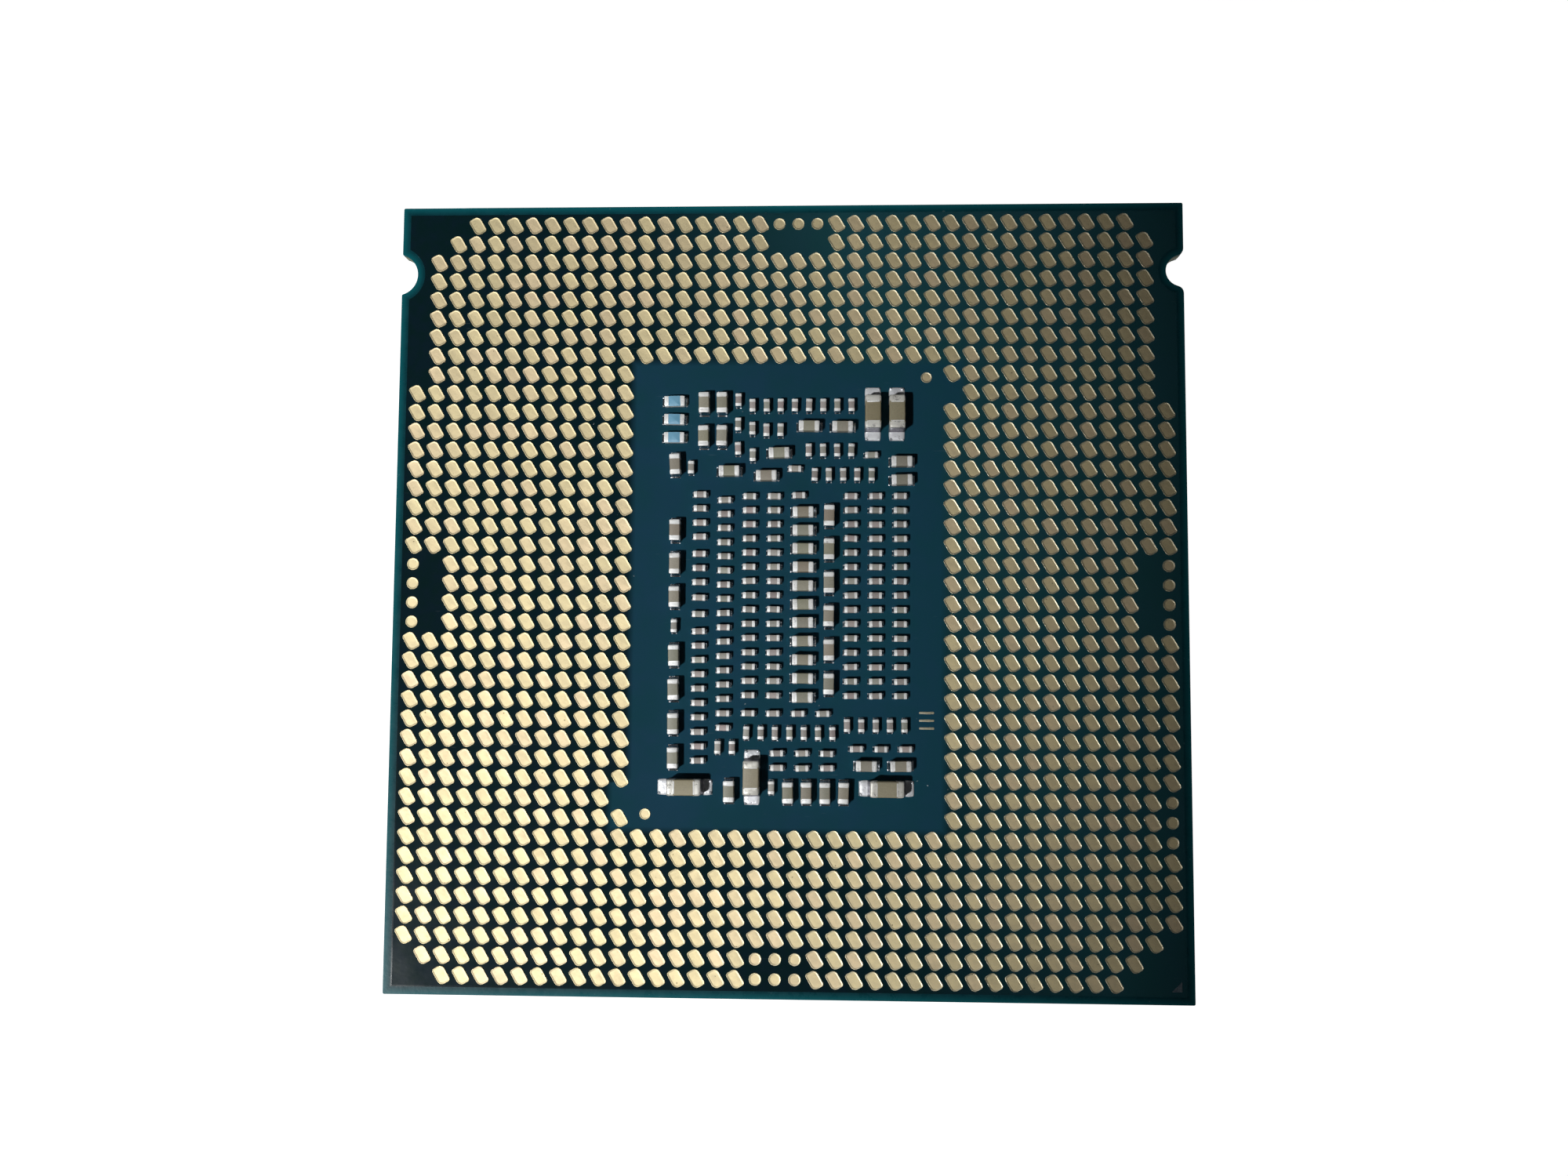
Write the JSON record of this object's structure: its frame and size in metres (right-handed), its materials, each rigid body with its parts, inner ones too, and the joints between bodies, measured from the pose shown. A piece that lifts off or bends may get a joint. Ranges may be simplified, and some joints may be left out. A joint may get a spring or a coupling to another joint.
{
  "type": "computer processor",
  "caption": "Square land grid processor package: lean gold lands around a field of chip capacitors on one face, stepped nickel-plated heat spreader on the other.",
  "frame": {"origin": "centre of the heat spreader's flat contact face, which the part lies on, at the centre of the package's plan", "axes": "+Z out of the land face, away from the heat spreader; +Y towards the end with the two keying notches; +X completes the frame, so the pin one corner is at +X and -Y"},
  "size_m": [0.0376, 0.0376, 0.0051],
  "materials": {
    "nickel_plate": "satin electroless nickel over copper, fine grinding marks",
    "black_silicone": "semi-matte cured silicone",
    "thermal_paste": "dull grey filled grease",
    "silicon": "polished dark grey",
    "underfill_resin": "glossy amber-brown epoxy",
    "solder": "bright reflowed tin alloy",
    "solder_mask": "satin dark teal solder mask",
    "copper_plane": "etched copper",
    "buildup_film": "dark green resin film",
    "glass_core": "woven glass and epoxy, cut edge",
    "gold_plate": "immersion gold over nickel, satin with faint speckle",
    "bare_mark": "dull grey-blue ink",
    "stencil_gold": "thin gold-plated bars",
    "capacitor_ceramic_small": "matte grey-beige ceramic",
    "capacitor_ceramic": "matte olive-beige ceramic",
    "tin_ends": "matte plated tin",
    "alumina": "white alumina",
    "blue_glaze": "light blue overglaze"
  },
  "bodies": {
    "root": {"heat_spreader": "nickel_plate", "lid_sealant": "black_silicone", "thermal_interface": "thermal_paste", "silicon_die": "silicon", "die_underfill": "underfill_resin", "solder_bumps": "solder", "die_side_mask": "solder_mask", "die_side_copper": "copper_plane", "die_side_buildup": "buildup_film", "laminate_core": "glass_core", "land_side_buildup": "buildup_film", "land_side_copper": "copper_plane", "land_side_mask": "solder_mask", "lands_north": "gold_plate", "lands_west": "gold_plate", "lands_east": "gold_plate", "lands_south": "gold_plate", "test_pads": "gold_plate", "fiducial_pads": "gold_plate", "pin_one_mark": "bare_mark", "lid_side_pin_one_mark": "gold_plate", "stencil_mark": "stencil_gold", "small_capacitors": "capacitor_ceramic_small", "small_capacitor_ends": "tin_ends", "small_capacitor_solder": "solder", "medium_capacitors": "capacitor_ceramic", "medium_capacitor_ends": "tin_ends", "medium_capacitor_solder": "solder", "large_capacitors": "capacitor_ceramic", "large_capacitor_ends": "tin_ends", "large_capacitor_solder": "solder", "resistor_bodies": "alumina", "resistor_glaze": "blue_glaze", "resistor_ends": "tin_ends", "resistor_solder": "solder"}
  },
  "joints": []
}
